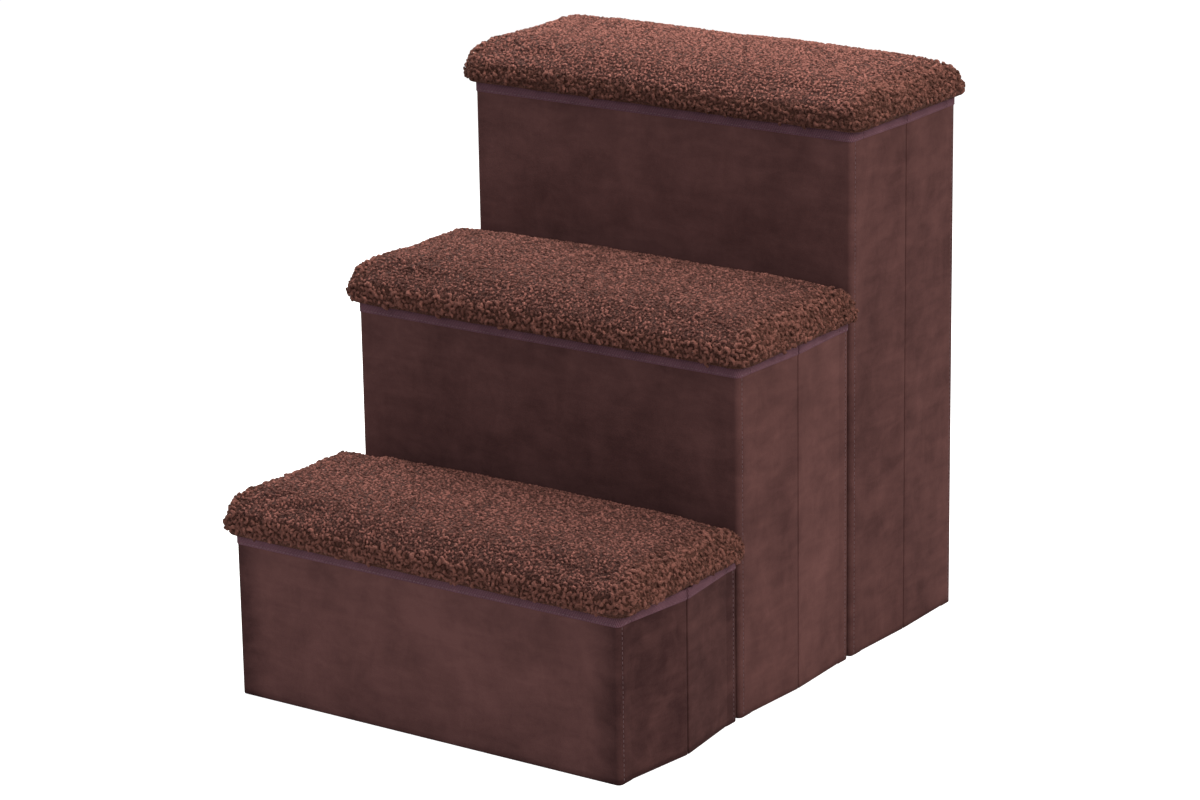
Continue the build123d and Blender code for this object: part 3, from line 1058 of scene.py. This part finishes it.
def lid_curls(kind, step, base, spacing, radius, seed):
    """The fine or the large tufts on a lid's plush body, as one plain mesh."""
    # The lid's painted light
    brightness = LID_PAINTED_LIGHT[step][0 if kind == "fine" else 1]
    darkest, lightest = (tone * brightness for tone in TONES[kind])
    values = {"Front Gain": FRONT_PAINTED_LIGHT[step], "Top Gain": TOP_PAINTED_LIGHT[step], **CURLS[kind], "Spacing": spacing,
              "Curl Radius": radius, "Darkest": darkest, "Lightest": lightest,
              "Seed": seed + STEPS.index(step)}
    return grown(placed(f"{step}_lid_{kind}_curls", base.data.copy()), curled_pile, values, "plush")


def foam_core(step):
    """The foam pad inside a lid, a crowned block with soft edges."""
    low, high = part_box(f"{step}_lid_foam_pad")
    middle, half = (low + high) / 2, (high - low) / 2
    shoulder, crown = 0.0165, 0.0075
    mesh = bmesh.new()
    bmesh.ops.create_grid(mesh, x_segments=48, y_segments=22, size=1.0)
    for vertex in mesh.verts:
        u, v = vertex.co.x, vertex.co.y
        x, y = half.x * u * (1 - 0.03 * v * v), half.y * v * (1 - 0.03 * u * u)
        rise = (1 - u ** 4) * (1 - v ** 2)
        vertex.co = (middle.x + x * 0.975, middle.y + y * 0.96, high.z - shoulder + crown * rise)
    made = bmesh.ops.extrude_face_region(mesh, geom=list(mesh.faces))
    for element in made["geom"]:
        if isinstance(element, bmesh.types.BMVert):
            element.co.z = low.z + 0.0002
    bmesh.ops.recalc_face_normals(mesh, faces=mesh.faces)
    return piece(f"{step}_lid_foam_core", mesh, finish("foam"))


def thin_cloth(name, outline, underside, thickness, sag):
    """A thin black sheet cut to an outline, with faint ripples, as a closed skin on its underside's height."""
    mesh = bmesh.new()
    mesh.faces.new([mesh.verts.new((x, y, 0)) for x, y in outline])
    for axis in (0, 1):
        places = [point[axis] for point in outline]
        for place in heights(min(places), max(places), 0.012)[1:-1]:
            point, way = [0.0, 0.0, 0.0], [0.0, 0.0, 0.0]
            point[axis], way[axis] = place, 1.0
            everything = list(mesh.verts) + list(mesh.edges) + list(mesh.faces)
            bmesh.ops.bisect_plane(mesh, geom=everything, plane_co=point, plane_no=way)
    for vertex in mesh.verts:
        vertex.co.z = sag * drift(vertex.co, 22, 6.0)
    bmesh.ops.solidify(mesh, geom=list(mesh.faces), thickness=thickness)
    bmesh.ops.recalc_face_normals(mesh, faces=mesh.faces)
    lowest = min(vertex.co.z for vertex in mesh.verts)
    for vertex in mesh.verts:
        vertex.co.z += underside - lowest
    return piece(name, mesh, finish("black_cloth"))


# ---------------------------------------------------------------- settings


def length(name, description, default, least=0.0):
    """A length that a user can change."""
    return FloatProperty(name=name, description=description, default=default, min=least, unit="LENGTH")


def colour(name, description, default):
    """A colour that a user can change."""
    return FloatVectorProperty(
        name=name, description=description, default=default, size=3, min=0, max=1, subtype="COLOR")


class StairSizes(bpy.types.PropertyGroup):
    """Sizes of the cloth, the stitching and the pile"""

    cloth_ripple: length("Cloth ripple", "How far the cloth bellies out of flat", 0.0007)
    seam_depth: length("Seam depth", "Depth of the sewn seam down each corner", 0.0005)
    stitch_spacing: length("Stitch spacing", "Distance from one stitch to the next", 0.0042, 0.001)
    stitch_length: length("Stitch length", "Length of one stitch", 0.0032, 0.001)
    thread_thickness: length("Thread thickness", "Thickness of the sewing thread", 0.0006, 0.0001)
    pile_height: length("Pile height", "How far the pile stands on the padded lid", 0.003, 0.001)
    top_curl_spacing: length("Top curl spacing", "Distance between the fine curls on a lid's top", 0.0029, 0.0015)
    top_curl_radius: length("Top curl radius", "Radius of a fine curl's bend", 0.0016, 0.0005)
    edge_curl_spacing: length(
        "Edge curl spacing", "Distance between the larger curls round a lid's edge", 0.0036, 0.0015)
    edge_curl_radius: length("Edge curl radius", "Radius of a large curl's bend", 0.0024, 0.0005)
    pad_pressure: FloatProperty(
        name="Pad pressure", description="Pressure that fills the padded lids", default=4.0, min=0)
    curl_seed: IntProperty(name="Curl seed", description="Seed of the curls' places and sizes", default=3, min=0)


class StairColours(bpy.types.PropertyGroup):
    """Colours of the finishes"""

    suede_dark: colour("Suede, brushed down", "Where the nap lies away from the light", (0.036, 0.0145, 0.0142))
    suede_light: colour("Suede, brushed up", "Where the nap catches the light", (0.138, 0.060, 0.0545))
    tape_dark: colour("Tape grooves", "Between the ribs of the rim tape", (0.04, 0.0175, 0.0225))
    tape_light: colour("Tape ribs", "On the ribs of the rim tape", (0.206, 0.094, 0.118))
    thread: colour("Thread", "Sewing thread", (0.15, 0.075, 0.085))
    plush_dark: colour("Plush, deep", "Down between the curls", (0.026, 0.0095, 0.0082))
    plush_light: colour("Plush, tips", "On the tips of the curls", (0.275, 0.107, 0.084))
    plush_edge: colour("Plush, edge", "Warmer tone round the lid's edge", (0.11, 0.041, 0.025))
    black_cloth: colour("Lining cloth", "Lining, base cloth and floor boards", (0.014, 0.013, 0.013))
    board: colour("Board", "Stiff board inside the panels", (0.35, 0.26, 0.17))
    foam: colour("Foam", "Foam inside the lids", (0.8, 0.74, 0.55))
    fastener: colour("Joining strips", "Hook-and-loop strips between the boxes", (0.014, 0.011, 0.011))


# ---------------------------------------------------------------- operators


def cover_panel(panel, step, ring, foot, nap_and_painted_light, paths, sizes):
    """Makes a panel's sleeve, tape and stitches in place of its CAD cover, and gives the body they ride on."""
    node = f"{panel}_cover"
    body = body_of(node)
    sleeve = panel_sleeve(panel, step, ring, foot, nap_and_painted_light, sizes)
    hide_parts(node)
    for made in (sleeve, panel_tape(panel, step, ring), stitches(f"{panel}_stitches", paths, sizes)):
        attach(made, body)
    return body


class STAIRS_OT_stage(bpy.types.Operator):
    """Sets up the floor, the soft light and the camera"""

    bl_idname = "stairs.stage"
    bl_label = "Floor, light and camera"

    def execute(self, context):
        scene = context.scene
        scene.view_settings.view_transform = "Standard"
        add_floor()
        add_world(scene)
        for lamp in LAMPS:
            add_lamp(*lamp)
        add_camera(scene)
        return {"FINISHED"}


class STAIRS_OT_walls(bpy.types.Operator):
    """Covers the front, dividing and back walls with suede, tape and stitching"""

    bl_idname = "stairs.walls"
    bl_label = "Walls"

    def execute(self, context):
        for step in STEPS:
            for end in WAY_OF_END:
                # Each wall's painted light and shade, and its front side's at its ends
                cover_panel(f"{step}_{end}_wall", step, partial(wall_ring, step, end), WALL_FOOT,
                            (WALL_PAINTED_LIGHT[step], SIDE_PAINTED_LIGHT[step, "front"]), wall_stitch_paths(step, end),
                            context.scene.stair_sizes)
        return {"FINISHED"}


class STAIRS_OT_sides(bpy.types.Operator):
    """Covers the folding side panels, with the cloth at their corners and creases"""

    bl_idname = "stairs.sides"
    bl_label = "Folding sides"

    def execute(self, context):
        joined = {frozenset((j["parent"], j["child"])) for j in frame["joints"]}
        for step in STEPS:
            for side in WAY_OF_SIDE:
                for end in ("back", "front"):
                    half = (step, side, end)
                    # Each side half's painted light and shade
                    body = cover_panel(f"{step}_{side}_{end}_side", step, partial(side_ring, half), SIDE_FOOT,
                                       (0.0, SIDE_PAINTED_LIGHT[step, end]), side_stitch_paths(half),
                                       context.scene.stair_sizes)
                    corner = corner_strip(half)
                    wall = body_of(f"{step}_{end}_wall_cover")
                    if frozenset((wall, body)) in joined:
                        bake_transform(corner)
                    else:
                        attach(corner, wall)
                for kind in ("suede", "tape"):
                    crease = crease_strip(step, side, kind)
                    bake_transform(crease)
        return {"FINISHED"}


class STAIRS_OT_lids(bpy.types.Operator):
    """Makes the padded plush lids with their curls, foam and lining"""

    bl_idname = "stairs.lids"
    bl_label = "Plush lids"

    def execute(self, context):
        sizes = context.scene.stair_sizes
        pad = lid_pad(sizes)
        for step in STEPS:
            base = lid_base(step, pad)
            fine = lid_curls("fine", step, base, sizes.top_curl_spacing, sizes.top_curl_radius, sizes.curl_seed)
            large = lid_curls("large", step, base, sizes.edge_curl_spacing, sizes.edge_curl_radius,
                              sizes.curl_seed + 11)
            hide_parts(f"{step}_lid_plush_cover")
            core = foam_core(step)
            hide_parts(f"{step}_lid_foam_pad")
            outline = [(x, MIDDLES[step] + y) for x, y in lid_outline(LINING_INSET)]
            underside = RIMS[step] + SEAT_GAP + 0.0001
            lining = thin_cloth(f"{step}_lid_black_lining", outline, underside, thickness=0.0005, sag=0.0001)
            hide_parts(f"{step}_lid_lining")
            for made, slot in ((base, "plush"), (fine, "plush"), (large, "plush"), (core, "foam"),
                               (lining, "black_cloth")):
                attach(made, f"{step}_lid")
        return {"FINISHED"}


class STAIRS_OT_base_cloths(bpy.types.Operator):
    """Makes the thin cloth under each box"""

    bl_idname = "stairs.base_cloths"
    bl_label = "Base cloths"

    def execute(self, context):
        edge = HALF_WIDTH - SIDE - SEAT_GAP
        for step in STEPS:
            node = f"{step}_base_cloth"
            middle = MIDDLES[step]
            right = [(edge, -FLOOR_HALF_DEPTH), (edge, -WEB_END), (edge + FOLD_BULGES[step], 0), (edge, WEB_END),
                     (edge, FLOOR_HALF_DEPTH)]
            outline = [(x, middle + y) for x, y in right + mirrored(right)]
            cloth = thin_cloth(f"{step}_base_black_cloth", outline, 0.00005, thickness=0.0003, sag=0.00004)
            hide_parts(node)
            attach(cloth, body_of(node))
            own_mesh(cloth)
        return {"FINISHED"}


class STAIRS_OT_boards(bpy.types.Operator):
    """Gives the boards, floor boards and joining strips their finishes"""

    bl_idname = "stairs.boards"
    bl_label = "Boards and strips"

    def execute(self, context):
        kinds = {"joining_strips": "hook_and_loop", "floor_board": "black_cloth", "board": "board"}
        for name, obj in frame["nodes"].items():
            for ending, kind in kinds.items():
                if name.endswith(ending):
                    obj.data.materials.clear()
                    obj.data.materials.append(finish(kind))
                    break
        return {"FINISHED"}


# ---------------------------------------------------------------- stage


def direction(angle, pitch):
    """Direction out from the stairs. Angle 0 is in front of them and 90 degrees to their right."""
    return Vector((math.sin(angle) * math.cos(pitch), -math.cos(angle) * math.cos(pitch), math.sin(pitch)))


def add_lamp(name, angle, height, distance, size, power, colour):
    """A square soft lamp that looks at the stairs."""
    back = direction(math.radians(angle), math.radians(height))
    data = bpy.data.lights.new(name, "AREA")
    data.energy = power
    data.color = colour
    data.size = size
    lamp = placed(name, data)
    lamp.location = LOOK_AT + back * distance
    lamp.rotation_mode = "QUATERNION"
    lamp.rotation_quaternion = back.to_track_quat("Z", "Y")


def seen_directly(tree):
    """1 for rays from the camera, or by a reflection or through glass."""
    path = add(tree, "ShaderNodeLightPath")
    either = maths(tree, "MAXIMUM", path.outputs["Is Camera Ray"], path.outputs["Is Glossy Ray"])
    return maths(tree, "MAXIMUM", either, path.outputs["Is Transmission Ray"])


def add_floor():
    """A pale floor that keeps the stairs' shadow and looks white in the camera."""
    mesh = bmesh.new()
    bmesh.ops.create_grid(mesh, x_segments=2, y_segments=2, size=14)
    material, tree = new_finish("pale floor", Base_Color=FLOOR_GREY, Roughness=0.9, Specular_IOR_Level=0.0)
    strength = maths(tree, "MULTIPLY", seen_directly(tree), FLOOR_GLOW)
    glow = add(tree, "ShaderNodeEmission", {"Strength": strength})
    both = add(tree, "ShaderNodeAddShader", {0: tree.nodes["Principled BSDF"].outputs[0], 1: glow.outputs[0]})
    tree.links.new(both.outputs[0], tree.nodes["Material Output"].inputs["Surface"])
    piece("floor", mesh, material)


def add_world(scene):
    """White to the camera, and a plain soft light to the stairs."""
    world = bpy.data.worlds.new("studio")
    scene.world = world
    world.use_nodes = True
    tree = world.node_tree
    background = tree.nodes["Background"]
    background.inputs["Color"].default_value = (1, 1, 1, 1)
    feed(tree, background.inputs["Strength"], scaled(tree, seen_directly(tree), 1 - WORLD_LIGHT, WORLD_LIGHT))


def add_camera(scene):
    """The camera at the photograph's angle, worked out from the boxes' corners."""
    angle, pitch, roll = (math.radians(value) for value in CAMERA_ANGLES)
    back = direction(angle, pitch)
    right = Vector((math.cos(angle), math.sin(angle), 0))
    up = back.cross(right)
    rolled_right = right * math.cos(roll) + up * math.sin(roll)
    rolled_up = up * math.cos(roll) - right * math.sin(roll)
    data = bpy.data.cameras.new("camera")
    data.lens = CAMERA_LENS
    data.sensor_width = 36
    data.sensor_fit = "HORIZONTAL"
    data.clip_end = 100
    camera = placed("camera", data)
    turn = Matrix((rolled_right, rolled_up, back)).transposed().to_4x4()
    camera.matrix_world = Matrix.Translation(CAMERA_PLACE) @ turn
    scene.camera = camera


# ---------------------------------------------------------------- the add-on


class STAIRS_PT_panel(bpy.types.Panel):
    """Lists the steps that dress the stairs, with their sizes and colours"""

    bl_idname = "STAIRS_PT_panel"
    bl_label = "Pet Stairs"
    bl_space_type = "VIEW_3D"
    bl_region_type = "UI"
    bl_category = "Pet Stairs"

    def draw(self, context):
        layout = self.layout
        for operator in OPERATORS:
            layout.operator(operator.bl_idname)
        for group in (context.scene.stair_sizes, context.scene.stair_colours):
            box = layout.box()
            for name in group.__annotations__:
                box.prop(group, name)


OPERATORS = (
    STAIRS_OT_stage, STAIRS_OT_walls, STAIRS_OT_sides, STAIRS_OT_lids, STAIRS_OT_base_cloths, STAIRS_OT_boards)
CLASSES = (StairSizes, StairColours, *OPERATORS, STAIRS_PT_panel)


def register():
    for each in CLASSES:
        bpy.utils.register_class(each)
    bpy.types.Scene.stair_sizes = PointerProperty(type=StairSizes)
    bpy.types.Scene.stair_colours = PointerProperty(type=StairColours)


def unregister():
    del bpy.types.Scene.stair_colours
    del bpy.types.Scene.stair_sizes
    for each in reversed(CLASSES):
        bpy.utils.unregister_class(each)


def main():
    register()
    for operator in OPERATORS:
        group, name = operator.bl_idname.split(".")
        getattr(getattr(bpy.ops, group), name)()


if __name__ == "__main__":
    main()
